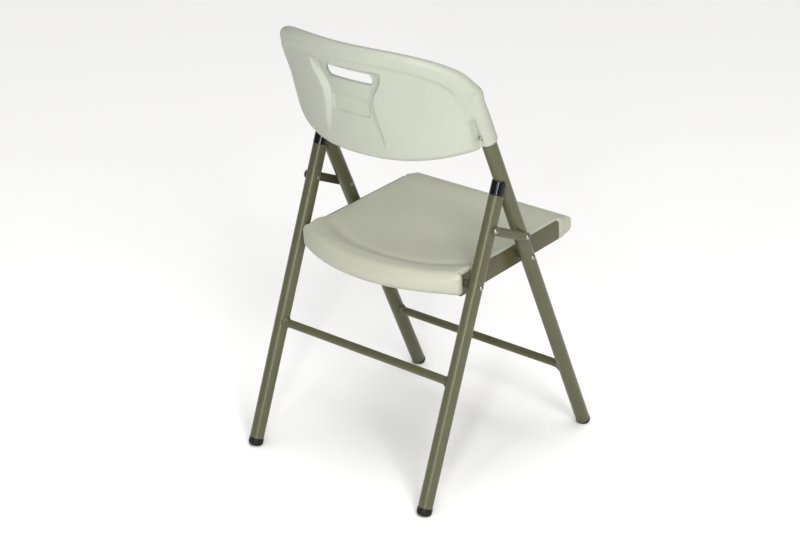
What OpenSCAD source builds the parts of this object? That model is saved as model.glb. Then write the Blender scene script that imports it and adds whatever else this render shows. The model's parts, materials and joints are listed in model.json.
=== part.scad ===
// Folding chair: two pairs of round steel legs that cross at the seat,
// a moulded seat between side rails and a curved moulded backrest.
// +Z is up, the sitter faces -Y and the sitter's left is +X.

/* [Frame] */
// Outside diameter of every leg tube
tube_d = 28; // [24:1:30]
// Wall of every leg tube
tube_wall = 1.3; // [1:0.1:2]
// Half the distance between the left and right tube centre lines
frame_half = 215.5; // [210:0.5:220]
// Distance between the front and rear feet, at the floor
foot_spread = 502.6; // [495:1:510]
// Lean of the front tubes from upright
front_lean = 25.67; // [25:0.1:26.5]
// Lean of the rear legs from upright
rear_lean = 19.42; // [19:0.1:20]
// Outside diameter of the crossbars
crossbar_d = 16; // [14:1:18]

/* [Pivots] */
// Seat pivot, measured up the front tube
seat_pivot_s = 468.8; // [466:0.5:471]
// Link pivot, measured up the front tube
link_pivot_s = 523.2; // [520:0.5:526]
// Seat pivot, measured up the rear leg
rear_seat_s = 435.9; // [433:0.5:438]
// Link pivot, measured up the rear leg
rear_link_s = 543; // [540:0.5:546]
// Diameter of the pivot rivets
rivet_d = 7; // [6:0.5:9]

/* [Seat] */
// Outer faces of the two seat rails, half the distance apart
rail_half = 191; // [188:0.5:193]
// Height of a seat rail
rail_h = 43; // [38:1:44]
// Front edge of the seat, ahead of the seat pivot
seat_front = 175; // [165:1:178]
// Rear edge of the seat, behind the seat pivot
seat_rear = 238; // [232:1:242]
// Wall of the moulded plastic
shell_wall = 3; // [2.5:0.5:4]

/* [Backrest] */
// Top of the backrest
back_top = 859; // [850:1:865]
// Bottom of the backrest
back_low = 638; // [630:1:645]
// Thickness of the moulded panel
back_t = 22; // [18:1:26]
// Width of the hand slot
slot_w = 108; // [90:1:120]
// Height of the hand slot
slot_h = 24; // [20:1:26]

/* [Hidden] */
$fn = 96;
fit = 0.05;
gap = 0.3;
tube_r = tube_d / 2;
bore_r = tube_r - tube_wall;
rivet_r = rivet_d / 2;
rivet_head_r = 5;
rivet_head_h = 2.8;
rivet_tail_r = 5;
rivet_tail_h = 1.8;
bush_r = 7.5;
front_foot_y = -foot_spread / 2;
rear_foot_y = foot_spread / 2;
front_tube_low = 9;
front_tube_top = 858;
rear_tube_low = 15;
rear_tube_top = 606;
cap_top = 640;
foot_round = 7;
tube_out = frame_half + tube_r;
front_bar_s = 163.3;
rear_bar_s = 252.5;

// Side-plane places, as [y, z]
function on_front(s) = [front_foot_y + s * sin(front_lean), s * cos(front_lean)];
function on_rear(s) = [rear_foot_y - s * sin(rear_lean), s * cos(rear_lean)];
pivot_a = on_front(seat_pivot_s);
pivot_b = on_rear(rear_seat_s);
pivot_c = on_rear(rear_link_s);
pivot_d = on_front(link_pivot_s);
seat_run = norm(pivot_b - pivot_a);
seat_fall = atan2(pivot_a[1] - pivot_b[1], pivot_b[0] - pivot_a[0]);
link_run = norm(pivot_d - pivot_c);
link_rise = atan2(pivot_c[1] - pivot_d[1], pivot_c[0] - pivot_d[0]);

// Seat section, in the seat's own frame: y to the rear from the front pivot, z up
rail_top = 18.5;
rail_t = 1.5;
rail_front = 136;
rail_rear = 166;
rail_flange = 22;
seat_under = rail_top - rail_h + rail_t + 0.1;
seat_top = 19.5;
seat_in = rail_half - rail_t - 0.2;
seat_lip = 194;
front_roll_r = (seat_top - seat_under) / 2;
rear_roll_r = 19.5;
roll_up = 3;
corner_r = 12;
arc_r = 352;
dish_depth = 8;
dish_r = 1500;
screw_at = [-75, 85];
screw_x = rail_half - 13;
screw_r = 2.5;
rail_gap = 0.5;
ease = 0.5;
tail_room = 4;

// Link layer, outboard of the tubes
link_in = tube_out + 0.8;
link_t = 2.6;
link_w = 17;
link_out = link_in + link_t;

// Backrest: a shell between two cones on one upright axis
cone_y = front_foot_y + 144.3;
cone_z = 740;
cone_r = 310.9;
cone_flare = 0.24;
cone_half = 190;
back_half = 234;
back_power = 3.2;
back_shoulder = 745;
back_steps = 48;
low_half = 209;
low_rise = 33;
sleeve_low = 758;
sleeve_top = 860;
sleeve_r = 18;
slot_z = 793;
back_screw_s = 777;
back_screw_r = 2.2;
back_seat_r = sleeve_r - 1.2;
back_head_r = 4;
back_head_h = 2.4;

// ---- placing helpers ----

// Puts z along a front tube, y square to it and to the rear
module along_front(side) {
    translate([side * frame_half, front_foot_y, 0])
        rotate([-front_lean, 0, 0])
            children();
}

// Puts z along a rear leg, y square to it and to the rear
module along_rear(side) {
    translate([side * frame_half, rear_foot_y, 0])
        rotate([rear_lean, 0, 0])
            children();
}

// Puts the seat's own frame in place
module in_seat() {
    translate([0, pivot_a[0], pivot_a[1]])
        rotate([-seat_fall, 0, 0])
            children();
}

// A round bar along X between two distances from the middle, on one side
module across(side, at, r, near, far) {
    translate([side * (near + far) / 2, at[0], at[1]])
        rotate([0, 90, 0])
            cylinder(h = far - near, r = r, center = true);
}

module children_at(side) {
    mirror([side < 0 ? 1 : 0, 0, 0])
        children();
}

// Rivet along X: a shank between two distances from the middle, with a domed head
// outside and, when tail_r is given, a smaller dome inside
module rivet(side, at, near, far, head_r, tail_r) {
    translate([side * near, at[0], at[1]])
        rotate([0, side * 90, 0])
            rotate_extrude()
                union() {
                    square([rivet_r - 0.02, far - near]);
                    if (head_r > 0)
                        translate([0, far - near])
                            dome_section(head_r, rivet_head_h);
                    if (tail_r > 0)
                        mirror([0, 1])
                            dome_section(tail_r, rivet_tail_h);
                }
}

// Half section of a dome standing on the x axis
module dome_section(r, h) {
    ball = (r * r + h * h) / (2 * h);
    intersection() {
        translate([0, h - ball])
            circle(r = ball);
        square([r, h + 1]);
    }
}

// ---- tubes, feet and caps ----

module front_tube(side) {
    color("#6a6a50")
        difference() {
            along_front(side)
                translate([0, 0, front_tube_low])
                    difference() {
                        cylinder(h = front_tube_top - front_tube_low, r = tube_r);
                        translate([0, 0, -1])
                            cylinder(h = front_tube_top - front_tube_low + 2, r = bore_r);
                    }
            across(side, pivot_a, rivet_r, frame_half - 20, frame_half + 20);
            across(side, pivot_d, rivet_r, frame_half - 20, frame_half + 20);
            along_back_screw(side)
                cylinder(h = 20, r = back_screw_r + fit);
        }
}

module rear_tube(side) {
    color("#6a6a50")
        difference() {
            along_rear(side)
                translate([0, 0, rear_tube_low])
                    difference() {
                        cylinder(h = rear_tube_top - rear_tube_low, r = tube_r);
                        translate([0, 0, -1])
                            cylinder(h = rear_tube_top - rear_tube_low + 2, r = bore_r);
                    }
            front_tube_clear(side);
            across(side, pivot_b, rivet_r, frame_half - 20, frame_half + 20);
            across(side, pivot_c, rivet_r, frame_half - 20, frame_half + 20);
        }
}

// The space that a front tube takes, with clearance
module front_tube_clear(side) {
    along_front(side)
        translate([0, 0, front_tube_low])
            cylinder(h = front_tube_top - front_tube_low, r = tube_r + gap);
}

// Plug with a rounded end, cut flat where it meets the floor
module foot_plug(end_s, tube_low) {
    lip_r = tube_r + 0.4;
    rotate_extrude()
        union() {
            translate([0, end_s])
                square([lip_r - foot_round, foot_round]);
            translate([0, end_s + foot_round])
                square([lip_r, tube_low - end_s - foot_round]);
            intersection() {
                translate([lip_r - foot_round, end_s + foot_round])
                    circle(r = foot_round);
                translate([0, end_s])
                    square([lip_r, foot_round + 0.01]);
            }
            translate([0, end_s + 2])
                square([bore_r - 0.1, tube_low + 20 - end_s]);
        }
}

module floor_cut() {
    intersection() {
        children();
        translate([-400, -400, 0])
            cube([800, 800, 100]);
    }
}

module front_foot(side) {
    color("#1d1d1f")
        floor_cut()
            along_front(side)
                foot_plug(-0.6, front_tube_low);
}

module rear_foot(side) {
    color("#1d1d1f")
        floor_cut()
            along_rear(side)
                foot_plug(-1, rear_tube_low);
}

// Cap with a saddle that rests against the front tube
module rear_cap(side) {
    color("#18181a")
        difference() {
            along_rear(side)
                union() {
                    translate([0, 0, rear_tube_top])
                        cylinder(h = cap_top - rear_tube_top, r = tube_r + 0.2);
                    translate([0, 0, rear_tube_top - 22])
                        cylinder(h = 24, r = bore_r - 0.1);
                }
            front_tube_clear(side);
            along_front(side)
                translate([-30, -80, 500])
                    cube([60, 80, 250]);
        }
}

// ---- crossbars ----

// Straight round tube that ends on the inner sides of the two leg tubes
module crossbar(at) {
    difference() {
        translate([0, at[0], at[1]])
            rotate([0, 90, 0])
                difference() {
                    cylinder(h = 2 * frame_half, r = crossbar_d / 2, center = true);
                    cylinder(h = 2 * frame_half + 2, r = crossbar_d / 2 - 1.2, center = true);
                }
        children();
    }
}

module front_crossbar() {
    color("#646448")
        crossbar(on_front(front_bar_s))
            union() {
                along_front(1)
                    cylinder(h = 400, r = tube_r);
                along_front(-1)
                    cylinder(h = 400, r = tube_r);
            }
}

module rear_crossbar() {
    color("#646448")
        crossbar(on_rear(rear_bar_s))
            union() {
                along_rear(1)
                    cylinder(h = 400, r = tube_r);
                along_rear(-1)
                    cylinder(h = 400, r = tube_r);
            }
}

// ---- seat ----

// Plan of the seat, shrunk by an inset: full width ahead of the rails and behind them.
// The ease keeps its edges off the lines where the rolls end
module seat_plan(inset) {
    front = seat_front + ease;
    lip = seat_lip - inset;
    lip_end = rail_front + rail_gap + inset;
    heel = rail_rear + rail_gap + inset;
    intersection() {
        union() {
            translate([inset - seat_in, -lip_end - 1])
                square([2 * (seat_in - inset), seat_rear + lip_end]);
            for (side = [-1, 1])
                translate([side * (seat_lip - corner_r), corner_r - front])
                    circle(r = corner_r - inset);
            translate([corner_r - seat_lip, inset - front])
                square([2 * (seat_lip - corner_r), front - lip_end - inset]);
            translate([-lip, corner_r - front])
                square([2 * lip, front - corner_r - lip_end]);
            translate([-lip, heel])
                square([2 * lip, seat_rear - heel]);
        }
        translate([0, seat_rear - ease - arc_r])
            circle(r = arc_r - inset, $fn = 180);
    }
}

// Side section of the seat: a slab between a front roll and a rear roll
module seat_side(inset) {
    front_c = front_roll_r - seat_front;
    rear_c = seat_rear - rear_roll_r;
    rear_z = seat_top + roll_up - rear_roll_r;
    translate([front_c, seat_top - front_roll_r])
        circle(r = front_roll_r - inset);
    translate([rear_c, rear_z])
        circle(r = rear_roll_r - inset);
    polygon([
        [front_c, seat_under + inset], [rail_rear - 10, seat_under + inset],
        [rear_c, rear_z - rear_roll_r + inset], [rear_c, seat_top - inset],
        [front_c, seat_top - inset]
    ]);
}

module seat_block(inset) {
    intersection() {
        translate([0, 0, -60])
            linear_extrude(120)
                seat_plan(inset);
        rotate([90, 0, 90])
            linear_extrude(500, center = true)
                seat_side(inset);
    }
}

module seat_dish(inset) {
    translate([0, 40, seat_top - dish_depth + dish_r - inset])
        sphere(r = dish_r, $fn = 200);
}

module seat_panel() {
    color("#c8cbb9")
        in_seat()
            difference() {
                seat_block(0);
                seat_dish(0);
                difference() {
                    seat_block(shell_wall);
                    seat_dish(shell_wall);
                    for (side = [-1, 1], y = screw_at)
                        translate([side * screw_x, y, -30])
                            cylinder(h = 24, r = 8);
                    tail_pockets(shell_wall);
                }
                for (side = [-1, 1], y = screw_at)
                    translate([side * screw_x, y, -30])
                        cylinder(h = 20, r = screw_r);
                tail_pockets(0);
            }
}

// Hollows in the sides of the seat that clear the inner ends of the pivot rivets
module tail_pockets(grow) {
    for (side = [-1, 1], y = [0, seat_run])
        translate([side * (seat_in + 1 - tail_room / 2), y, 0])
            rotate([0, 90, 0])
                cylinder(h = tail_room + 2 + 2 * grow, r = rivet_tail_r + 1 + grow, center = true);
}

// Steel side rail: a channel open towards the seat
module seat_rail(side) {
    low = rail_top - rail_h;
    long = rail_front + rail_rear;
    color("#66664b")
        in_seat()
            children_at(side)
                difference() {
                    intersection() {
                        translate([rail_half - rail_flange, -rail_front, low])
                            cube([rail_flange, long, rail_h]);
                        rotate([90, 0, 90])
                            linear_extrude(400)
                                rail_side(low);
                    }
                    translate([rail_half - rail_flange - 1, -rail_front - 1, low + rail_t])
                        cube([rail_flange + 1 - rail_t, long + 2, rail_h]);
                    translate([rail_half, 0, 0])
                        rotate([0, 90, 0])
                            cylinder(h = 20, r = rivet_r + fit, center = true);
                    translate([rail_half, seat_run, 0])
                        rotate([0, 90, 0])
                            cylinder(h = 20, r = rivet_r + fit, center = true);
                    for (y = screw_at)
                        translate([screw_x, y, low - 1])
                            cylinder(h = 5, r = screw_r + 0.1);
                }
}

// Side outline of a rail, with its top front corner rounded
module rail_side(low) {
    nose = 9;
    translate([-rail_front + nose, low])
        square([rail_front + rail_rear - nose, rail_h]);
    translate([-rail_front, low])
        square([nose + 1, rail_h - nose]);
    translate([-rail_front + nose, rail_top - nose])
        circle(r = nose);
}

module seat_screws() {
    low = rail_top - rail_h;
    color("#3a3a34")
        in_seat()
            for (side = [-1, 1], y = screw_at)
                translate([side * screw_x, y, low]) {
                    translate([0, 0, -4])
                        cylinder(h = 4, r = 6);
                    translate([0, 0, -1])
                        cylinder(h = 12, r = screw_r - 0.05);
                }
}

// ---- rivets and spacers ----

// Rivets that the seat rails turn on, carried by the front tubes
module seat_pivot_rivets() {
    color("#b9bbb4")
        for (side = [-1, 1])
            rivet(side, pivot_a, rail_half - rail_t - gap, tube_out + 0.02, rivet_head_r, rivet_tail_r);
}

// Rivets that join the seat rails to the rear legs
module rear_seat_rivets() {
    color("#b9bbb4")
        for (side = [-1, 1])
            rivet(side, pivot_b, rail_half - rail_t - gap, tube_out + 0.02, rivet_head_r, rivet_tail_r);
}

// Bushes between the rails and the tubes
module spacers(at) {
    color("#2a2a2a")
        for (side = [-1, 1])
            difference() {
                across(side, at, bush_r, rail_half + 0.25, frame_half - tube_r - 0.02);
                across(side, at, rivet_r + 0.01, rail_half - 1, frame_half);
            }
}

module seat_pivot_spacers() {
    spacers(pivot_a);
}

module rear_seat_spacers() {
    spacers(pivot_b);
}

// Rivets that hold the links to the front tubes
module link_front_rivets() {
    color("#b9bbb4")
        for (side = [-1, 1])
            rivet(side, pivot_d, frame_half - tube_r - 0.02, link_out + 0.25, rivet_head_r, rivet_tail_r);
}

// Shanks and inner tails of the rear link rivets, carried by the rear legs
module link_rear_tails() {
    color("#b9bbb4")
        for (side = [-1, 1])
            rivet(side, pivot_c, frame_half - tube_r - 0.02, tube_out + 0.1, 0, rivet_tail_r);
}

// Outer heads of the rear link rivets, carried by the links
module link_rear_heads() {
    color("#b9bbb4")
        for (side = [-1, 1])
            rivet(side, pivot_c, link_in, link_out, rivet_head_r, 0);
}

// ---- links ----

// Pressed steel bar with round ends and a raised middle
module link(side) {
    mid_y = (pivot_c[0] + pivot_d[0]) / 2;
    mid_z = (pivot_c[1] + pivot_d[1]) / 2;
    color("#6a6a50")
        children_at(side)
            difference() {
                union() {
                    across(1, pivot_c, link_w / 2, link_in, link_out);
                    across(1, pivot_d, link_w / 2, link_in, link_out);
                    translate([link_in + link_t / 2, mid_y, mid_z])
                        rotate([link_rise, 0, 0])
                            cube([link_t, link_run, link_w], center = true);
                    translate([link_in + link_t / 2 + 0.8, mid_y, mid_z])
                        rotate([link_rise, 0, 0])
                            cube([link_t, link_run - 26, link_w - 7], center = true);
                }
                across(1, pivot_c, rivet_r, link_in - 1, link_out + 1);
                across(1, pivot_d, rivet_r + fit, link_in - 1, link_out + 1);
            }
}

// ---- backrest ----

// One coaxial cone of the backrest, offset from the middle surface
module back_cone(offset_r) {
    low_r = cone_r - cone_half * cone_flare + offset_r;
    high_r = cone_r + cone_half * cone_flare + offset_r;
    translate([0, cone_y, cone_z - cone_half])
        cylinder(h = 2 * cone_half, r1 = low_r, r2 = high_r, $fn = 200);
}

// Half of the outline's top edge: a superellipse from the shoulder to the middle
function top_edge(t, half, high) =
    [half * pow(cos(t), 2 / back_power), high * pow(sin(t), 2 / back_power)];

// Height of the outline's bottom edge, which sweeps up towards the tubes
function low_edge(x) = back_low + low_rise * pow(abs(x) / low_half, 3);

module back_outline(inset) {
    half = back_half - inset;
    high = back_top - inset - back_shoulder;
    steps = back_steps / 2;
    right = [for (i = [0:steps]) top_edge(90 * i / steps, half, high)];
    left = [for (i = [1:steps]) [-right[steps - i][0], right[steps - i][1]]];
    translate([0, back_shoulder])
        polygon(concat(right, left));
    low = low_half - inset;
    foot = [for (i = [-steps:steps]) [low * i / steps, low_edge(low * i / steps) + inset]];
    polygon(concat(foot, [[low, back_shoulder + 0.5], [-low, back_shoulder + 0.5]]));
}

module back_prism(inset) {
    rotate([90, 0, 0])
        translate([0, 0, -350])
            linear_extrude(300)
                back_outline(inset);
}

module hand_slot(grow) {
    r = slot_h / 2;
    for (side = [-1, 1])
        translate([side * (slot_w / 2 - r), 100, slot_z])
            rotate([-90, 0, 0])
                cylinder(h = 250, r = r + grow);
    translate([r - slot_w / 2, 100, slot_z - r - grow])
        cube([slot_w - 2 * r, 250, slot_h + 2 * grow]);
}

// Moulded sleeve around a front tube, with a round top
module sleeve(side, r) {
    along_front(side) {
        translate([0, 0, sleeve_low])
            cylinder(h = sleeve_top - sleeve_low, r = r);
        translate([0, 0, sleeve_top])
            sphere(r = r);
    }
}

// Everything in front of the sleeves
module sleeve_front(inset) {
    along_front(0)
        translate([-300, -200 - sleeve_r + inset, 500])
            cube([600, 200, 600]);
}

module back_shell(inset) {
    intersection() {
        difference() {
            back_cone(back_t / 2 - inset);
            back_cone(inset - back_t / 2);
            sleeve_front(inset);
        }
        back_prism(inset);
    }
}

module backrest_panel() {
    color("#c8cbb9")
        difference() {
            union() {
                back_shell(0);
                sleeve(1, sleeve_r);
                sleeve(-1, sleeve_r);
            }
            difference() {
                back_shell(shell_wall);
                hand_slot(shell_wall);
                sleeve(1, sleeve_r + 1);
                sleeve(-1, sleeve_r + 1);
            }
            hand_slot(0);
            for (side = [-1, 1])
                along_front(side)
                    translate([0, 0, 600])
                        cylinder(h = front_tube_top - 600 + 0.5, r = tube_r + 0.1);
            for (side = [-1, 1])
                along_back_screw(side) {
                    cylinder(h = sleeve_r + 10, r = back_screw_r + fit);
                    translate([0, 0, back_seat_r - fit])
                        cylinder(h = 20, r = back_head_r + gap);
                }
        }
}

// Puts z along a backrest screw, from a front tube's centre line to the rear
module along_back_screw(side) {
    along_front(side)
        translate([0, 0, back_screw_s])
            rotate([-90, 0, 0])
                children();
}

// Screws that hold the backrest to the tubes, from the rear
module backrest_screws() {
    color("#b9bbb4")
        for (side = [-1, 1])
            along_back_screw(side)
                translate([0, 0, back_seat_r])
                    rotate_extrude()
                        union() {
                            dome_section(back_head_r, back_head_h);
                            translate([0, bore_r - back_seat_r - 4])
                                square([back_screw_r, back_seat_r - bore_r + 4.1]);
                        }
}

front_tube(1);  // front_tube_left
front_tube(-1);  // front_tube_right
front_crossbar();
front_foot(1);  // front_foot_left
front_foot(-1);  // front_foot_right
backrest_panel();
backrest_screws();
seat_pivot_rivets();
seat_pivot_spacers();
link_front_rivets();
seat_panel();
seat_rail(1);  // seat_rail_left
seat_rail(-1);  // seat_rail_right
seat_screws();
rear_tube(1);  // rear_tube_left
rear_tube(-1);  // rear_tube_right
rear_crossbar();
rear_cap(1);  // rear_cap_left
rear_cap(-1);  // rear_cap_right
rear_foot(1);  // rear_foot_left
rear_foot(-1);  // rear_foot_right
rear_seat_rivets();
rear_seat_spacers();
link_rear_tails();
link(1);  // link_left
link(-1);  // link_right
link_rear_heads();
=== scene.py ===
"""Looks of a folding chair: moulded seat and backrest, powder-coated tubes, caps, feet and rivets."""
import json
import math

import bpy
import numpy as np
from mathutils import Matrix, Vector


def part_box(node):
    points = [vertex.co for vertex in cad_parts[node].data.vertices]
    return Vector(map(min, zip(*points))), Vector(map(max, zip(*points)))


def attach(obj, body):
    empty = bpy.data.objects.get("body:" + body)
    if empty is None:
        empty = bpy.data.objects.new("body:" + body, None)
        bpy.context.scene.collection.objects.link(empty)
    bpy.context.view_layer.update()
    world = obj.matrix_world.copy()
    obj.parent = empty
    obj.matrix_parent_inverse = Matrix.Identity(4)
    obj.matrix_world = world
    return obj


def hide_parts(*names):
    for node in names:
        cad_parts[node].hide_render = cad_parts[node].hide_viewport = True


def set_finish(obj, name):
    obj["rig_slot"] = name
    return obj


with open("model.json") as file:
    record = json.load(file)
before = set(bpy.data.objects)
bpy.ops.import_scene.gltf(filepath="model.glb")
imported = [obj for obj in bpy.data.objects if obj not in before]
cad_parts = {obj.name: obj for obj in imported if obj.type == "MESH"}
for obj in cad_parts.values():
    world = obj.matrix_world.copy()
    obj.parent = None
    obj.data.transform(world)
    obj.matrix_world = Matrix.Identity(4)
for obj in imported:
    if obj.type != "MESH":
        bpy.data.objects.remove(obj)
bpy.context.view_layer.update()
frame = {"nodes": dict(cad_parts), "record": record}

MM = 0.001

# ---- places that come from the frame ----

JOINTS = {joint["name"]: joint for joint in frame["record"]["behaviour"]["joints"]}
SLOTS = {row["node"]: row["material_slot"] for row in frame["record"]["subparts"]}


def joint_place(name):
    """The pivot of a joint in the side plane, as (y, z)."""
    return np.array(JOINTS[name]["pos_m"][1:], float)


def box_middle(node):
    """The middle of a node's box at rest."""
    low, high = (np.array(corner, float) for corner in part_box(node))
    return (low + high) / 2


PIVOT_A = joint_place("seat_fold")
PIVOT_B = joint_place("rear_leg_fold")
PIVOT_D = joint_place("link_fold")
PIVOT_C = box_middle("link_rear_heads")[1:]
FRAME_HALF = float(box_middle("front_tube_left")[0])
TUBE_R = float(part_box("front_tube_left")[1][0]) - FRAME_HALF


def side_axis(low, high):
    """Foot place on the floor and lean from upright of the line through two side-plane points."""
    step = high - low
    lean = math.atan2(step[0], step[1])
    return low[0] - low[1] * math.tan(lean), lean


FRONT_FOOT_Y, FRONT_LEAN = side_axis(PIVOT_A, PIVOT_D)
REAR_FOOT_Y, REAR_LEAN = side_axis(PIVOT_B, PIVOT_C)


def leg_frame(side, foot_y, lean):
    """A frame whose z runs up a leg tube and whose y is square to it, to the rear."""
    return Matrix.Translation((side * FRAME_HALF, foot_y, 0)) @ Matrix.Rotation(-lean, 4, "X")


def front_frame(side):
    return leg_frame(side, FRONT_FOOT_Y, FRONT_LEAN)


def rear_frame(side):
    return leg_frame(side, REAR_FOOT_Y, REAR_LEAN)


def seat_frame():
    """A frame on the seat's front pivot, y to its rear pivot and z up."""
    run = PIVOT_B - PIVOT_A
    fall = math.atan2(-run[1], run[0])
    return Matrix.Translation((0, PIVOT_A[0], PIVOT_A[1])) @ Matrix.Rotation(-fall, 4, "X")


# ---- implicit shapes ----

def soft_min(a, b, k):
    """Union of two distance fields with a fillet of about k."""
    h = np.clip(0.5 + 0.5 * (b - a) / k, 0, 1)
    return b * (1 - h) + a * h - k * h * (1 - h)


def soft_max(a, b, k):
    """Overlap of two distance fields with an edge rounded by about k."""
    return -soft_min(-a, -b, k)


def step_up(low, high, value):
    """Smooth step from 0 at low to 1 at high."""
    t = np.clip((value - low) / (high - low), 0, 1)
    return t * t * (3 - 2 * t)


def rounded_slab(edge, over, r):
    """Slab from an outline distance and a distance past its faces, with edges rounded to r."""
    a, b = edge + r, over + r
    return np.minimum(np.maximum(a, b), 0) + np.hypot(np.maximum(a, 0), np.maximum(b, 0)) - r


def arc(centre, r, start, end, count):
    """Points of a plane arc between two angles in degrees."""
    turns = np.radians(np.linspace(start, end, count))
    return [(centre[0] + r * math.cos(t), centre[1] + r * math.sin(t)) for t in turns]


def outline_distance(px, py, points):
    """Signed distance to a closed outline, negative inside."""
    best = np.full(np.broadcast(px, py).shape, 1e9)
    inside = np.zeros(best.shape, bool)
    ahead = np.roll(points, -1, axis=0)
    for (ax, ay), (bx, by) in zip(points, ahead):
        dx, dy = bx - ax, by - ay
        t = np.clip(((px - ax) * dx + (py - ay) * dy) / (dx * dx + dy * dy + 1e-18), 0, 1)
        best = np.minimum(best, (px - ax - t * dx) ** 2 + (py - ay - t * dy) ** 2)
        if ay != by:
            crosses = (ay > py) != (by > py)
            inside ^= crosses & (px < (bx - ax) * (py - ay) / (by - ay) + ax)
    return np.sqrt(best) * np.where(inside, -1, 1)


def open_grid(low, high, step):
    """Three broadcastable coordinate arrays that cover a box."""
    axes = [np.arange(a, b + step, step) for a, b in zip(low, high)]
    return axes[0][:, None, None], axes[1][None, :, None], axes[2][None, None, :]


CORNERS = [(i, j, k) for i in (0, 1) for j in (0, 1) for k in (0, 1)]


def surface_net(values, low, step):
    """Quads of the zero surface of a sampled field, with one vertex in each crossed cell."""
    inside = values < 0
    cells_shape = tuple(n - 1 for n in values.shape)
    count = np.zeros(cells_shape, np.int8)
    for i, j, k in CORNERS:
        count += inside[i:i + cells_shape[0], j:j + cells_shape[1], k:k + cells_shape[2]]
    active = (count > 0) & (count < 8)
    number = np.full(cells_shape, -1, np.int64)
    cells = np.argwhere(active)
    number[active] = np.arange(len(cells))
    total = np.zeros((len(cells), 3))
    hits = np.zeros(len(cells))
    for axis in range(3):
        along = np.eye(3, dtype=int)[axis]
        for corner in CORNERS:
            if corner[axis]:
                continue
            start = cells + np.array(corner)
            a = values[tuple(start.T)]
            b = values[tuple((start + along).T)]
            crossed = (a < 0) != (b < 0)
            t = np.where(crossed, a / np.where(crossed, a - b, 1), 0)
            total += (np.array(corner) + t[:, None] * along) * crossed[:, None]
            hits += crossed
    points = np.array(low) + (cells + total / hits[:, None]) * step
    quads = [axis_quads(inside, number, axis) for axis in range(3)]
    return points, np.concatenate(quads)


def axis_quads(inside, number, axis):
    """Quads across the grid edges that run along one axis and cross the surface."""
    b, c = (axis + 1) % 3, (axis + 2) % 3
    head = np.moveaxis(inside, (axis, b, c), (0, 1, 2))
    cell = np.moveaxis(number, (axis, b, c), (0, 1, 2))
    first, second = head[:-1, 1:-1, 1:-1], head[1:, 1:-1, 1:-1]
    i, j, k = np.nonzero(first != second)
    ring = [cell[i, j, k], cell[i, j + 1, k], cell[i, j + 1, k + 1], cell[i, j, k + 1]]
    quads = np.stack(ring, axis=1)
    flip = ~first[i, j, k]
    quads[flip] = quads[flip][:, ::-1]
    return quads


def mesh_object(name, points, quads, place=None):
    """A smooth-shaded object from points and quads, placed by a matrix."""
    mesh = bpy.data.meshes.new(name)
    mesh.vertices.add(len(points))
    mesh.vertices.foreach_set("co", np.asarray(points, np.float32).ravel())
    mesh.loops.add(quads.size)
    mesh.loops.foreach_set("vertex_index", quads.ravel().astype(np.int32))
    mesh.polygons.add(len(quads))
    mesh.polygons.foreach_set("loop_start", np.arange(0, quads.size, 4, dtype=np.int32))
    mesh.polygons.foreach_set("use_smooth", np.ones(len(quads), bool))
    mesh.update(calc_edges=True)
    if place is not None:
        mesh.transform(place)
    obj = bpy.data.objects.new(name, mesh)
    bpy.context.scene.collection.objects.link(obj)
    return obj


def implicit_object(name, field, low, high, step, place=None):
    """An object from a distance field sampled over a box."""
    low = np.array(low) - 2.5 * step
    high = np.array(high) + 2.5 * step
    values = np.ascontiguousarray(field(*open_grid(low, high, step)))
    points, quads = surface_net(values, low, step)
    return mesh_object(name, points, quads, place)


def finish_piece(obj, body, slot, *nodes):
    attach(obj, body)
    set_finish(obj, slot)
    if nodes:
        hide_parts(*nodes)
    return obj


# ---- backrest ----

BACK_GRID = 1.25 * MM

# the panel's middle surface
CONE_Y = FRONT_FOOT_Y + 0.1443
CONE_Z, CONE_R, CONE_FLARE = 0.740, 0.3109, 0.24

# its outline, seen from the front
BACK_LOW = float(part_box("backrest_panel")[0][2])
BACK_TOP = float(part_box("backrest_panel")[1][2])
BACK_HALF, BACK_SHOULDER, BACK_POWER = 0.2342, 0.745, 3.2
LOW_HALF, LOW_RISE, LOW_CORNER = 0.2125, 0.033, 8 * MM
SIDE_LOW, SIDE_TOP, CROWN_FROM = 0.725, 0.768, 0.780

# its thickness to the rear and the front of the middle surface, and the rolled band's extra
PANEL_REAR, PANEL_FRONT, PANEL_EDGE_R = 8 * MM, 9.5 * MM, 9 * MM
RIM_BAND, RIM_SOFT = 31 * MM, 6 * MM
RIM_REAR, RIM_FRONT, LOW_RIM_REAR = 3.4 * MM, 1.0 * MM, 0.6 * MM

# hand slot, dish and label recess
SLOT_Z, SLOT_HALF, SLOT_H, SLOT_TOP_R = 0.7932, 0.055, 0.0200, 9 * MM
DISH_LOW, DISH_DEPTH, DISH_BULGE = 0.668, 12.5 * MM, 5 * MM
LABEL_LOW, LABEL_HIGH, LABEL_HALF = 0.718, 0.750, 0.043
LABEL_R, LABEL_DEPTH = 6 * MM, 1.8 * MM

# sleeves, with places measured up the front tubes
SLEEVE_R, SLEEVE_LOW, SLEEVE_TOP = 18 * MM, 0.758, 0.860
BACK_SCREW_UP, BACK_SCREW_SEAT, BACK_SCREW_R = 0.777, 17.2 * MM, 5.2 * MM
DIMPLE_UP, DIMPLE_SIDE, DIMPLE_DEPTH = 0.8735, 13.5 * MM, 3.2 * MM
DIMPLE_TALL, DIMPLE_WIDE = 5.5 * MM, 2.2 * MM
CREASE_DEPTH, CREASE_FADE, CREASE_RUN = 2.8 * MM, 0.9 * MM, 90 * MM


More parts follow.
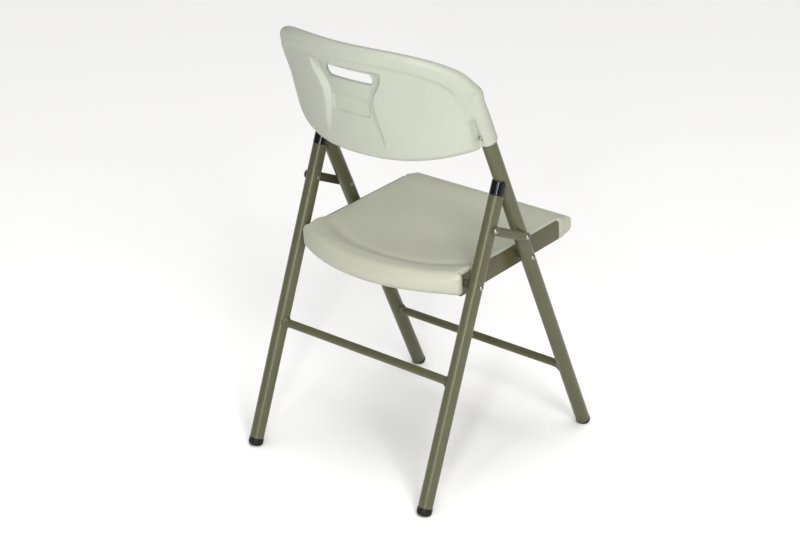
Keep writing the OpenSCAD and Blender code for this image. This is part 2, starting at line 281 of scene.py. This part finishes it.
def back_outline():
    """Outline of the panel seen from the front, as (x, z) points."""
    turns = np.linspace(0, math.pi / 2, 40)
    top_x = BACK_HALF * np.cos(turns) ** (2 / BACK_POWER)
    top_z = BACK_SHOULDER + (BACK_TOP - BACK_SHOULDER) * np.sin(turns) ** (2 / BACK_POWER)
    low_x = np.linspace(0, LOW_HALF - 7 * MM, 26)
    low_z = BACK_LOW + LOW_RISE * (low_x / LOW_HALF) ** 3
    corner_at = (LOW_HALF - LOW_CORNER, low_z[-1] + LOW_CORNER + 0.5 * MM)
    side = arc(corner_at, LOW_CORNER, -75, 0, 8) + [(LOW_HALF, SIDE_LOW)]
    side += [(BACK_HALF - 8 * MM, BACK_SHOULDER), (BACK_HALF - 1 * MM, SIDE_TOP)]
    top = np.stack([top_x, top_z], axis=1)
    right = np.concatenate([np.stack([low_x, low_z], axis=1), np.array(side), top[top_z > CROWN_FROM]])
    left = right[::-1][1:-1] * (-1, 1)
    return np.concatenate([right, left])


def tube_y(z):
    """y of the front tubes' centre lines at a height."""
    return FRONT_FOOT_Y + z * math.tan(FRONT_LEAN)


def back_middle(x, z):
    """y of the panel's middle surface: an upright cone that turns flat where the tubes run."""
    radius = CONE_R + CONE_FLARE * (z - CONE_Z)
    cone = CONE_Y + np.sqrt(np.maximum(radius * radius - x * x, 1e-4))
    return soft_max(cone, tube_y(z) + 0 * x - 1 * MM, 10 * MM)


def dish_half(z):
    """Half width of the hourglass recess: wide at the hand slot, narrow at the waist."""
    return 0.058 + 0.023 * step_up(0.752, 0.806, z) + 0.010 * step_up(0.742, DISH_LOW, z)


def hand_dish(x, z):
    """Depth share of the hourglass recess around the hand slot, from 0 to 1."""
    wall = 5 * MM + 9 * MM * step_up(0.0, 0.02, x)
    across = step_up(0, 1, (dish_half(z) + 2 * MM - np.abs(x)) / wall)
    high = step_up(0.8145, 0.8065, z)
    fade = 0.12 + 0.88 * np.clip((z - DISH_LOW) / (0.765 - DISH_LOW), 0, 1)
    return across * high * fade * step_up(0.650, 0.676, z)


def label_recess(x, z):
    """1 inside the blank label recess, 0 outside."""
    dx = np.abs(x) - LABEL_HALF
    dz = np.abs(z - (LABEL_LOW + LABEL_HIGH) / 2) - (LABEL_HIGH - LABEL_LOW) / 2
    return step_up(0.9 * MM, -0.9 * MM, rounded_slab(dx, dz, LABEL_R))


def slot_distance(x, z):
    """Distance to the hand slot seen from the front: flat top, rounder lower corners."""
    r = np.where(z > SLOT_Z, SLOT_TOP_R, SLOT_H / 2)
    return rounded_slab(np.abs(x) - SLOT_HALF, np.abs(z - SLOT_Z) - SLOT_H / 2, r)


def backrest_field(x, y, z):
    """The moulded panel with its sleeves, rolled rim, recess and slot."""
    middle = back_middle(x, z)
    step = float(z[0, 0, 1] - z[0, 0, 0])
    slope_x = np.gradient(middle[:, 0, :], step, axis=0)
    slope_z = np.gradient(middle[:, 0, :], step, axis=1)
    steep = 1 / np.sqrt(1 + slope_x ** 2 + slope_z ** 2)
    x2, z2 = x[:, 0, :], z[:, 0, :]
    edge = outline_distance(x2, z2, back_outline())
    upper = step_up(0.765, 0.800, z2)
    rim = step_up(-RIM_BAND - RIM_SOFT, -RIM_BAND + RIM_SOFT, edge) * upper
    low_rim = step_up(-14 * MM, -3 * MM, edge) * (1 - upper)
    share = hand_dish(x2, z2)
    rear = PANEL_REAR + RIM_REAR * rim + LOW_RIM_REAR * low_rim
    rear = rear - DISH_DEPTH * share - LABEL_DEPTH * label_recess(x2, z2)
    front = PANEL_FRONT + RIM_FRONT * rim + DISH_BULGE * share
    offset = (rear - front) / 2
    half = (rear + front) / 2
    away = (y - middle) * steep[:, None, :] - offset[:, None, :]
    over = np.abs(away) - half[:, None, :]
    panel = rounded_slab(edge[:, None, :] * 0.92, over, np.minimum(half, PANEL_EDGE_R)[:, None, :])
    blend = 3 * MM + 15 * MM * step_up(0.768, 0.795, z)
    body = soft_min(panel, sleeve_field(x, y, z), blend)
    body = soft_max(body, -slot_distance(x, z), 4 * MM)
    body = soft_max(body, -screw_seat_field(x, y, z), 1.5 * MM)
    return body + dimple_depth(x, y, z) + sleeve_crease(x, y, z)


def front_tube_coordinates(x, y, z):
    """Distance up the nearer front tube, and square distance to its centre line."""
    s, c = math.sin(FRONT_LEAN), math.cos(FRONT_LEAN)
    up = (y - FRONT_FOOT_Y) * s + z * c
    out = (y - FRONT_FOOT_Y) * c - z * s
    return up, out, np.abs(x) - FRAME_HALF


def sleeve_field(x, y, z):
    """The round sleeves over the front tubes, flatter at their tops."""
    up, out, side = front_tube_coordinates(x, y, z)
    past = np.maximum(up - SLEEVE_TOP, 0)
    squash = 1 + 0.14 * step_up(0.800, 0.862, up)
    round_bar = np.sqrt((out * squash) ** 2 + side * side + past * past) - SLEEVE_R
    return soft_max(round_bar, SLEEVE_LOW - up, 2.5 * MM)


def screw_seat_field(x, y, z):
    """The round seat of each backrest screw, open to the rear."""
    up, out, side = front_tube_coordinates(x, y, z)
    return np.maximum(np.hypot(up - BACK_SCREW_UP, side) - BACK_SCREW_R, BACK_SCREW_SEAT - out)


def dimple_depth(x, y, z):
    """How far a small oval dimple sinks into the rear of each shoulder."""
    up, out, side = front_tube_coordinates(x, y, z)
    far = ((up - DIMPLE_UP) / DIMPLE_TALL) ** 2 + ((side - DIMPLE_SIDE) / DIMPLE_WIDE) ** 2
    return DIMPLE_DEPTH * np.exp(-far) * (out > 0)


def sleeve_crease(x, y, z):
    """How far the surface drops beside each sleeve, where the panel's face ends over it."""
    up, out, side = front_tube_coordinates(x, y, z)
    share = np.clip((up - BACK_SCREW_UP) / CREASE_RUN, 0, 1)
    past = side + 4 * MM + 3.5 * MM * share + 10 * MM * share ** 4
    drop = step_up(-0.9 * MM, 0.9 * MM, past) * step_up(13 * MM, 1 * MM, past)
    ends = step_up(0.760, 0.772, up) * step_up(0.874, 0.852, up)
    return (CREASE_DEPTH - CREASE_FADE * share) * drop * ends * (out > 0)


def make_backrest():
    low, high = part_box("backrest_panel")
    obj = implicit_object("backrest_moulding", backrest_field, low, high, BACK_GRID)
    return finish_piece(obj, "front_frame", "backrest_plastic", "backrest_panel")


# ---- seat ----

# rails and seat are laid out in the seat's own frame, with its front at negative y
RAIL_HALF = float(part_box("seat_rail_left")[1][0])
RAIL_TOP, RAIL_H, RAIL_T = 18.5 * MM, 43 * MM, 1.5 * MM
RAIL_FRONT, RAIL_REAR, RAIL_FLANGE = 0.131, 0.1645, 22 * MM
RAIL_BEND, RAIL_NOSE = 4 * MM, 10 * MM

SEAT_GRID = 1.8 * MM
SEAT_FRONT, SEAT_REAR, SEAT_LIP = 0.175, 0.238, 0.194
SEAT_IN = RAIL_HALF - RAIL_T - 0.3 * MM
SEAT_SIDE_TOP, SEAT_UNDER, SEAT_HEEL = 20.5 * MM, -23.0 * MM, -18.5 * MM
SEAT_ARC_R, SEAT_CORNER, SEAT_HEEL_R = 0.352, 13 * MM, 11 * MM
SEAT_EDGE_R, SEAT_END_R, SEAT_ROLL_R = 4.5 * MM, 5 * MM, 18 * MM
NOSE_FALL, NOSE_LIFT = 9 * MM, 6 * MM
SEAT_DISH, SEAT_VALLEY, SEAT_REAR_ROLL = 9.5 * MM, 2.2 * MM, 6.0 * MM
DISH_MIDDLE, DISH_LONG, DISH_WIDE = 0.026, 0.170, 0.183


def seat_outline():
    """Plan of the seat in its own frame, front at negative y, full width past both rail ends."""
    half = [(0, -SEAT_FRONT), (0.08, -SEAT_FRONT)]
    half += arc((SEAT_LIP - SEAT_CORNER, SEAT_CORNER - SEAT_FRONT), SEAT_CORNER, -90, 0, 14)
    half += [(SEAT_LIP, -RAIL_FRONT - 1 * MM), (SEAT_IN, -RAIL_FRONT - 0.5 * MM)]
    half += [(SEAT_IN, RAIL_REAR + 0.6 * MM), (SEAT_LIP, RAIL_REAR + 1 * MM)]
    half += arc((SEAT_LIP - SEAT_HEEL_R, RAIL_REAR + 4.5 * MM), SEAT_HEEL_R, 5, 52, 8)
    half += arc((0, SEAT_REAR - SEAT_ARC_R), SEAT_ARC_R, 60.0, 90, 20)
    right = np.array(half)
    left = right[::-1][1:-1] * (-1, 1)
    return np.concatenate([right, left])


def distance_from_rear(x, y):
    """How far in front of the rear edge's arc a point of the seat's plan lies."""
    return SEAT_ARC_R - np.hypot(x, y - (SEAT_REAR - SEAT_ARC_R))


def seat_top_height(x, y):
    """Height of the seat's upper skin: side rims, a dish, a waterfall front and a rear roll."""
    from_rear = distance_from_rear(x, y)
    across = np.clip(1 - (x / DISH_WIDE) ** 2, 0, 1)
    oval = across * np.clip(1 - ((y - DISH_MIDDLE) / DISH_LONG) ** 2, 0, 1)
    dish = SEAT_DISH * (1 - (1 - oval) ** 1.6)
    fall = NOSE_FALL * step_up(-0.112, -0.182, y) ** 1.4
    roll = SEAT_REAR_ROLL * step_up(0.066, 0.036, from_rear) * step_up(-0.012, 0.024, from_rear)
    valley = SEAT_VALLEY * np.exp(-((from_rear - 0.070) / 0.010) ** 2)
    valley = valley * step_up(0.185, 0.13, np.abs(x))
    return SEAT_SIDE_TOP - dish - fall + roll - valley


def seat_field(x, y, z):
    """The seat between its skins, with small rounds along the sides and big ones at both ends."""
    x2, y2 = x[:, :, 0], y[:, :, 0]
    edge = outline_distance(x2, y2, seat_outline())[:, :, None]
    top = seat_top_height(x2, y2)
    under = SEAT_UNDER + (SEAT_HEEL - SEAT_UNDER) * step_up(0.150, 0.205, y2)
    under = under + NOSE_LIFT * step_up(-0.146, -0.182, y2)
    middle, half = (top + under) / 2, (top - under) / 2
    from_rear = distance_from_rear(x2, y2)
    nose = np.maximum(-SEAT_FRONT - y2, -from_rear)
    over = np.abs(z - middle[:, :, None]) - half[:, :, None]
    rolls = rounded_slab(nose[:, :, None], over, np.minimum(half, SEAT_ROLL_R)[:, :, None])
    ends = np.maximum(step_up(-0.136, -0.150, y2), step_up(0.036, 0.020, from_rear))
    sides = rounded_slab(edge, over, (SEAT_EDGE_R + SEAT_END_R * ends)[:, :, None])
    return soft_max(sides, rolls, 2 * MM)


def make_seat():
    low = (-SEAT_LIP, -SEAT_FRONT, SEAT_UNDER)
    high = (SEAT_LIP, SEAT_REAR, SEAT_SIDE_TOP + 6 * MM)
    obj = implicit_object("seat_moulding", seat_field, low, high, SEAT_GRID, seat_frame())
    return finish_piece(obj, "seat", "seat_plastic", "seat_panel")


# ---- rails ----

def bent_section(top):
    """Section of a rail as (x, z) points: an upright web that bends into a lower flange."""
    low, out, inn = RAIL_TOP - RAIL_H, RAIL_HALF, RAIL_HALF - RAIL_FLANGE
    bend_at = (out - RAIL_BEND, low + RAIL_BEND)
    outer = arc(bend_at, RAIL_BEND, 0, -90, 8)
    inner = arc(bend_at, RAIL_BEND - RAIL_T, -90, 0, 8)
    lip = arc((out - RAIL_T / 2, top - RAIL_T / 2), RAIL_T / 2, 180, 0, 7)
    return lip + outer + [(inn, low), (inn, low + RAIL_T)] + inner


def rail_mesh(side):
    """Stations of the bent section along the rail, the web lower where the front corner is round."""
    stations = arc((RAIL_NOSE - RAIL_FRONT, RAIL_TOP - RAIL_NOSE), RAIL_NOSE, 180, 90, 9)
    straight_from = RAIL_NOSE - RAIL_FRONT + 5 * MM
    stations += [(y, RAIL_TOP) for y in np.linspace(straight_from, RAIL_REAR, 16)]
    rings = [[(side * x, y, z) for x, z in bent_section(top)] for y, top in stations]
    n = len(rings[0])
    points = [p for ring in rings for p in ring]
    faces = []
    for i in range(len(rings) - 1):
        for j in range(n):
            k = (j + 1) % n
            faces.append((i * n + j, i * n + k, (i + 1) * n + k, (i + 1) * n + j))
    faces.append(tuple(range(n)))
    faces.append(tuple(len(points) - n + j for j in reversed(range(n))))
    if side < 0:
        faces = [face[::-1] for face in faces]
    return points, faces


def make_rail(side, node):
    points, faces = rail_mesh(side)
    mesh = bpy.data.meshes.new(node + "_pressing")
    mesh.from_pydata(points, [], faces)
    mesh.transform(seat_frame())
    mesh.update()
    mesh.shade_smooth()
    mesh.set_sharp_from_angle(angle=math.radians(40))
    obj = bpy.data.objects.new(mesh.name, mesh)
    bpy.context.scene.collection.objects.link(obj)
    return finish_piece(obj, "seat", "rail_steel", node)


# ---- links, caps, feet and crossbars ----

LINK_HALF_W, LINK_SHEET = 8.6 * MM, 2.4 * MM
CAP_R, CAP_LOW, CAP_MIDDLE, CAP_HALF, CAP_HIGH = TUBE_R + 0.3 * MM, 0.606, 0.620, 28 * MM, 0.650
REAR_TUBE_LOW, FRONT_TUBE_LOW = 0.015, 0.009
FOOT_LIP_R, FOOT_TOE, FOOT_MIDDLE, FOOT_HALF = TUBE_R + 0.5 * MM, 7 * MM, 20 * MM, 20.8 * MM
WELD_FILLET, WELD_REACH, WELD_RIPPLE, WELD_RIPPLES = 9 * MM, 5.5 * MM, 0.25 * MM, 13

def link_frame():
    """A frame midway between the link's pivots, with y from front to rear, and their distance."""
    run = PIVOT_C - PIVOT_D
    middle = (PIVOT_C + PIVOT_D) / 2
    rise = math.atan2(run[1], run[0])
    place = Matrix.Translation((0, middle[0], middle[1])) @ Matrix.Rotation(rise, 4, "X")
    return place, float(np.linalg.norm(run))


def make_link(side, node):
    """Flat strip with round ends and a raised middle between its pivots."""
    low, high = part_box(node)
    inner = min(abs(low[0]), abs(high[0]))
    outer = max(abs(low[0]), abs(high[0]))
    place, run = link_frame()
    half_w, sheet = LINK_HALF_W, LINK_SHEET

    def field(x, y, z):
        out = side * x - inner
        past = np.maximum(np.abs(y) - run / 2, 0)
        edge = np.hypot(past, z) - half_w
        ridge = step_up(half_w - 1.2 * MM, half_w - 4.2 * MM, np.abs(z))
        ridge = ridge * step_up(run / 2 - 9 * MM, run / 2 - 16 * MM, np.abs(y))
        lift = (outer - inner - sheet) * ridge
        flat = np.abs(out - sheet / 2 - lift) - sheet / 2
        return rounded_slab(edge, flat, 0.9 * MM)

    span = (side * inner, side * outer)
    box_low = (min(span), -run / 2 - half_w, -half_w)
    box_high = (max(span), run / 2 + half_w, half_w)
    obj = implicit_object(node + "_pressing", field, box_low, box_high, 0.55 * MM, place)
    return finish_piece(obj, "link_pair", "link_steel", node)


def make_cap(side, node):
    """Glossy cap with a saddle cut to the front tube it rests against."""
    to_front = front_frame(side).inverted() @ rear_frame(side)

    def field(x, y, z):
        cylinder = rounded_slab(np.hypot(x, y) - CAP_R, np.abs(z - CAP_MIDDLE) - CAP_HALF, 3 * MM)
        cylinder = soft_max(cylinder, CAP_LOW - z, 0.8 * MM)
        m = to_front
        fx = m[0][0] * x + m[0][1] * y + m[0][2] * z + m[0][3]
        fy = m[1][0] * x + m[1][1] * y + m[1][2] * z + m[1][3]
        saddle = np.hypot(fx, fy) - TUBE_R - 0.45 * MM
        body = soft_max(cylinder, -saddle, 2.2 * MM)
        return soft_max(body, -fy, 2.2 * MM)

    low, high = (-CAP_R, -CAP_R, CAP_LOW - 2 * MM), (CAP_R, CAP_R, CAP_HIGH)
    obj = implicit_object(node + "_moulding", field, low, high, 0.7 * MM, rear_frame(side))
    return finish_piece(obj, "rear_legs", "cap_plastic", node)


def make_foot(node, place, tube_low, body):
    """Rubber plug: a lip under the tube end, a rounded toe and a flat where it stands."""

    def field(x, y, z):
        above_floor = place[2][0] * x + place[2][1] * y + place[2][2] * z + place[2][3]
        past_lip = np.hypot(x, y) - FOOT_LIP_R
        plug = rounded_slab(past_lip, np.abs(z - FOOT_MIDDLE) - FOOT_HALF, FOOT_TOE)
        plug = np.maximum(plug, z - tube_low)
        groove = np.hypot(past_lip, z - tube_low + 2.2 * MM) - 0.5 * MM
        plug = soft_max(plug, -groove, 0.5 * MM)
        return soft_max(plug, -above_floor, 0.8 * MM)

    low, high = (-FOOT_LIP_R, -FOOT_LIP_R, -3 * MM), (FOOT_LIP_R, FOOT_LIP_R, tube_low)
    obj = implicit_object(node + "_plug", field, low, high, 0.6 * MM, place)
    return finish_piece(obj, body, "foot_rubber", node)


def make_crossbar(node, leg, body):
    """Round bar with a painted weld fillet where it meets each leg tube."""
    middle = box_middle(node)
    low, high = (np.array(corner, float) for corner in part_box(node))
    bar_r = (high[2] - low[2]) / 2
    foot_y, lean = leg

    def field(x, y, z):
        out = (y - foot_y) * math.cos(lean) - z * math.sin(lean)
        tube = np.hypot(np.abs(x) - FRAME_HALF, out) - TUBE_R
        along, up = y - middle[1], z - middle[2]
        sag = 0.6 * MM * step_up(0.185, 0.2, np.abs(x))
        bar = np.hypot(along, up + sag) - bar_r
        weld = soft_min(bar, tube, WELD_FILLET)
        near = np.hypot(along, up) - bar_r - WELD_REACH
        ripple = WELD_RIPPLE * np.sin(np.arctan2(up, along) * WELD_RIPPLES)
        ripple = ripple * step_up(0.190, 0.199, np.abs(x))
        return np.maximum(soft_max(weld + ripple, near, 2 * MM), 0.05 * MM - tube)

    pad = np.array([0, 5 * MM, 5 * MM])
    obj = implicit_object(node + "_welded", field, low - pad, high + pad, 1.0 * MM)
    return finish_piece(obj, body, "crossbar_steel", node)


# ---- materials ----

def node_material(name):
    """An empty node material, with its nodes and links."""
    material = bpy.data.materials.new(name)
    material.use_nodes = True
    tree = material.node_tree
    tree.nodes.clear()
    return material, tree.nodes, tree.links


def add(nodes, kind, **inputs):
    """A shader node with its sockets set by name."""
    made = nodes.new(kind)
    for key, value in inputs.items():
        made.inputs[key.replace("_", " ")].default_value = value
    return made


def ramp(nodes, links, source, stops):
    """A colour ramp fed by a value, from (place, colour) stops."""
    made = nodes.new("ShaderNodeValToRGB")
    for element, (place, colour) in zip(made.color_ramp.elements, (stops[0], stops[-1])):
        element.position, element.color = place, colour
    for place, colour in stops[1:-1]:
        made.color_ramp.elements.new(place).color = colour
    links.new(source, made.inputs["Fac"])
    return made.outputs["Color"]


def shade(colour, factor):
    """A colour made darker or lighter, with full alpha."""
    return (colour[0] * factor, colour[1] * factor, colour[2] * factor, 1)


WHITE = (1, 1, 1)


def surface_material(name, colour, rough, mottle, grain_scale, grain_bump,
                     metal=0.0, specular=0.5, spread=0.06):
    """Colour with broad mottling and fine flecks, uneven roughness and a fine grain bump."""
    material, nodes, links = node_material(name)
    place = nodes.new("ShaderNodeTexCoord").outputs["Object"]
    broad = add(nodes, "ShaderNodeTexNoise", Scale=mottle, Detail=5.0, Roughness=0.55)
    fleck = add(nodes, "ShaderNodeTexNoise", Scale=grain_scale * 0.45, Detail=3.0, Roughness=0.6)
    grain = add(nodes, "ShaderNodeTexVoronoi", Scale=grain_scale)
    grain.feature = "SMOOTH_F1"
    wavy = add(nodes, "ShaderNodeTexNoise", Scale=grain_scale * 0.12, Detail=4.0, Roughness=0.5)
    for texture in (broad, fleck, grain, wavy):
        links.new(place, texture.inputs["Vector"])
    base = ramp(nodes, links, broad.outputs["Fac"], [
        (0.30, shade(colour, 1 - spread)), (0.5, shade(colour, 1.0)), (0.72, shade(colour, 1 + spread))])
    dots = ramp(nodes, links, fleck.outputs["Fac"], [
        (0.32, shade(WHITE, 0.90)), (0.55, shade(WHITE, 1.0)), (0.75, shade(WHITE, 1.05))])
    mix = nodes.new("ShaderNodeMix")
    mix.data_type, mix.blend_type = "RGBA", "MULTIPLY"
    mix.inputs["Factor"].default_value = 0.7
    links.new(base, mix.inputs["A"])
    links.new(dots, mix.inputs["B"])
    gloss = ramp(nodes, links, broad.outputs["Fac"], [
        (0.25, shade(WHITE, rough * 0.88)), (0.75, shade(WHITE, min(1, rough * 1.12)))])
    coarse = add(nodes, "ShaderNodeBump", Strength=0.35, Distance=grain_bump * 2)
    links.new(wavy.outputs["Fac"], coarse.inputs["Height"])
    fine = add(nodes, "ShaderNodeBump", Strength=0.6, Distance=grain_bump)
    links.new(grain.outputs["Distance"], fine.inputs["Height"])
    links.new(coarse.outputs["Normal"], fine.inputs["Normal"])
    shader = add(nodes, "ShaderNodeBsdfPrincipled", Metallic=metal)
    shader.inputs["Specular IOR Level"].default_value = specular
    links.new(mix.outputs["Result"], shader.inputs["Base Color"])
    links.new(gloss, shader.inputs["Roughness"])
    links.new(fine.outputs["Normal"], shader.inputs["Normal"])
    out = nodes.new("ShaderNodeOutputMaterial")
    links.new(shader.outputs["BSDF"], out.inputs["Surface"])
    return material


def floor_material():
    """Matt paper, with a faint unevenness in its roughness."""
    material, nodes, links = node_material("floor_paper")
    place = nodes.new("ShaderNodeTexCoord").outputs["Object"]
    cloud = add(nodes, "ShaderNodeTexNoise", Scale=3.0, Detail=2.0)
    links.new(place, cloud.inputs["Vector"])
    rough = ramp(nodes, links, cloud.outputs["Fac"], [
        (0.2, shade(WHITE, 0.9)), (0.8, shade(WHITE, 1.0))])
    shader = add(nodes, "ShaderNodeBsdfPrincipled", Base_Color=(0.95, 0.95, 0.95, 1))
    shader.inputs["Specular IOR Level"].default_value = 0.1
    links.new(rough, shader.inputs["Roughness"])
    out = nodes.new("ShaderNodeOutputMaterial")
    links.new(shader.outputs["BSDF"], out.inputs["Surface"])
    return material


def make_materials():
    """A material for each slot of the record."""
    plastic = dict(rough=0.50, mottle=9.0, grain_scale=1150.0, grain_bump=0.00025, spread=0.03)
    paint = dict(rough=0.30, mottle=14.0, grain_scale=700.0, grain_bump=0.00003, specular=0.42, spread=0.05)
    gloss = dict(rough=0.16, mottle=20.0, grain_scale=500.0, grain_bump=0.00002, specular=0.4)
    rubber = dict(rough=0.48, mottle=40.0, grain_scale=900.0, grain_bump=0.00008, specular=0.25)
    nylon = dict(rough=0.45, mottle=40.0, grain_scale=900.0, grain_bump=0.00004)
    bright = dict(rough=0.34, mottle=60.0, grain_scale=900.0, grain_bump=0.00003, metal=1.0)
    dark = dict(rough=0.40, mottle=60.0, grain_scale=900.0, grain_bump=0.00003, metal=0.8)
    return {
        "backrest_plastic": surface_material("backrest_plastic", (0.372, 0.387, 0.328), **plastic),
        # backrest and seat are one plastic; the seat's colour is a separate copy whose tone and tint, set
        # apart from the backrest's to match how light falls on the seat, are painted light
        "seat_plastic": surface_material("seat_plastic", (0.388, 0.398, 0.320), **plastic),
        "tube_steel": surface_material("tube_powder_coat", (0.080, 0.078, 0.040), **paint),
        "crossbar_steel": surface_material("crossbar_powder_coat", (0.074, 0.072, 0.036), **paint),
        # the rails' coat is a darker, yellower copy of the tubes' coat, for painted shade
        "rail_steel": surface_material("rail_powder_coat_painted_shade", (0.078, 0.071, 0.032), **paint),
        # the links' coat is a darker, yellower copy of the tubes' coat, for painted shade
        "link_steel": surface_material("link_powder_coat_painted_shade", (0.074, 0.069, 0.031), **paint),
        "cap_plastic": surface_material("cap_gloss", (0.004, 0.004, 0.005), **gloss),
        "foot_rubber": surface_material("foot_rubber", (0.006, 0.006, 0.006), **rubber),
        "bush_plastic": surface_material("bush_nylon", (0.050, 0.048, 0.030), **nylon),
        "zinc_steel": surface_material("bright_zinc", (0.34, 0.34, 0.31), **bright),
        "dark_steel": surface_material("dark_zinc", (0.10, 0.10, 0.08), **dark),
    }


def paint_all(materials, pieces):
    """Every shown CAD node and every new piece takes the material of its slot."""
    for node, obj in frame["nodes"].items():
        obj.data.materials.clear()
        obj.data.materials.append(materials[SLOTS[node]])
    for obj in pieces:
        obj.data.materials.clear()
        obj.data.materials.append(materials[obj["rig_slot"]])


# ---- stage ----

CAMERA_AT = Vector((-2.3585, 2.8307, 1.9027))
CAMERA_YAW = math.radians(40.46)
CAMERA_PITCH = math.radians(-22.75)
CAMERA_LENS = 93.5
FLOOR_HALF = 14.0
WARM, GREENISH = (1.0, 0.985, 0.95), (0.98, 1.0, 0.97)
WORLD_LIGHT = 0.20
LIGHTS_AIM = (0, 0, 0.5)


def make_camera():
    """The camera at the photo's angle, placed by a fit to the chair's straight legs and pivots."""
    data = bpy.data.cameras.new("camera")
    data.lens = CAMERA_LENS
    data.sensor_width = 36
    camera = bpy.data.objects.new("camera", data)
    ahead = Vector((math.sin(CAMERA_YAW) * math.cos(CAMERA_PITCH),
                    -math.cos(CAMERA_YAW) * math.cos(CAMERA_PITCH), math.sin(CAMERA_PITCH)))
    camera.location = CAMERA_AT
    camera.rotation_euler = ahead.to_track_quat("-Z", "Y").to_euler()
    bpy.context.scene.collection.objects.link(camera)
    bpy.context.scene.camera = camera


def area_light(name, place, size, power, tint):
    """A rectangular lamp that faces the middle of the chair."""
    data = bpy.data.lights.new(name, "AREA")
    data.shape = "RECTANGLE"
    data.size, data.size_y = size
    data.energy = power
    data.color = tint
    light = bpy.data.objects.new(name, data)
    light.location = place
    light.rotation_euler = (Vector(LIGHTS_AIM) - Vector(place)).to_track_quat("-Z", "Y").to_euler()
    bpy.context.scene.collection.objects.link(light)


def sky_light(name, spread, strength):
    """A very broad light from straight above, even over the whole floor."""
    data = bpy.data.lights.new(name, "SUN")
    data.angle = spread
    data.energy = strength
    light = bpy.data.objects.new(name, data)
    light.location = (0, 0, 4)
    bpy.context.scene.collection.objects.link(light)


def make_floor():
    size = FLOOR_HALF
    corners = [(-size, -size, 0), (size, -size, 0), (size, size, 0), (-size, size, 0)]
    mesh = bpy.data.meshes.new("floor")
    mesh.from_pydata(corners, [], [(0, 1, 2, 3)])
    floor = bpy.data.objects.new("floor", mesh)
    bpy.context.scene.collection.objects.link(floor)
    floor.data.materials.append(floor_material())


def make_lights():
    """A warm world, a soft key, two narrow strips for the tubes' reflections and a broad sky."""
    world = bpy.data.worlds.new("studio")
    world.use_nodes = True
    background = world.node_tree.nodes["Background"]
    background.inputs["Color"].default_value = (*WARM, 1)
    background.inputs["Strength"].default_value = WORLD_LIGHT
    bpy.context.scene.world = world
    bpy.context.scene.view_settings.view_transform = "Standard"
    area_light("key", (-2.9, 1.9, 2.6), (1.2, 1.2), 88, WARM)
    area_light("strip_near", (-2.0, 3.3, 1.3), (0.10, 2.4), 60, GREENISH)
    area_light("strip_rear", (-0.9, 3.5, 1.5), (0.10, 2.6), 14, WHITE)
    sky_light("overhead", math.radians(70), 2.0)


def make_pieces():
    """Every piece that stands for a CAD node."""
    front_leg, rear_leg = (FRONT_FOOT_Y, FRONT_LEAN), (REAR_FOOT_Y, REAR_LEAN)
    made = [make_backrest(), make_seat()]
    made.append(make_crossbar("front_crossbar", front_leg, "front_frame"))
    made.append(make_crossbar("rear_crossbar", rear_leg, "rear_legs"))
    for side, word in ((1, "left"), (-1, "right")):
        made.append(make_rail(side, "seat_rail_" + word))
        made.append(make_link(side, "link_" + word))
        made.append(make_cap(side, "rear_cap_" + word))
        made.append(make_foot("front_foot_" + word, front_frame(side), FRONT_TUBE_LOW, "front_frame"))
        made.append(make_foot("rear_foot_" + word, rear_frame(side), REAR_TUBE_LOW, "rear_legs"))
    return made


def smooth_cad_nodes():
    """Round shading on the CAD tubes and rivets, with sharp rims kept."""
    for obj in frame["nodes"].values():
        obj.data.shade_smooth()
        obj.data.set_sharp_from_angle(angle=math.radians(35))


pieces = make_pieces()
smooth_cad_nodes()
paint_all(make_materials(), pieces)
make_camera()
make_floor()
make_lights()
